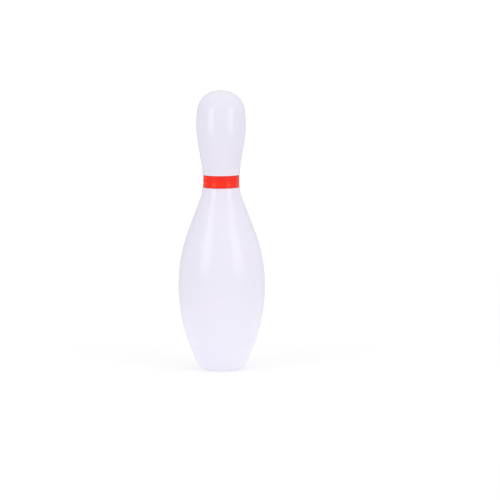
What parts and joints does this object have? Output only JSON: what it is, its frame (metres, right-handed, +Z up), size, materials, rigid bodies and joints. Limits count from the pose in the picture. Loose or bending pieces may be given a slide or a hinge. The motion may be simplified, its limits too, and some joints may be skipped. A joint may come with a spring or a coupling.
{
  "type": "bowling pin",
  "caption": "Free-standing hollow blow-moulded toy bowling pin with a tape band in a neck groove and a snap-in plug in its pushed-up base.",
  "frame": {"origin": "centre of the standing ring, on the floor plane, so the pin stands on Z = 0", "axes": "+Z up along the pin's axis of revolution, from the foot to the crown; the lap of the tape faces +Y, so the plain front faces -Y"},
  "size_m": [0.074, 0.074, 0.24],
  "materials": {
    "shell_plastic": "satin white polyethylene with a faint cool cast",
    "band_tape": "soft-gloss red PVC tape",
    "plug_plastic": "milky natural polyethylene"
  },
  "bodies": {
    "root": {"shell": "shell_plastic", "neck_band": "band_tape", "base_plug": "plug_plastic"}
  },
  "joints": []
}
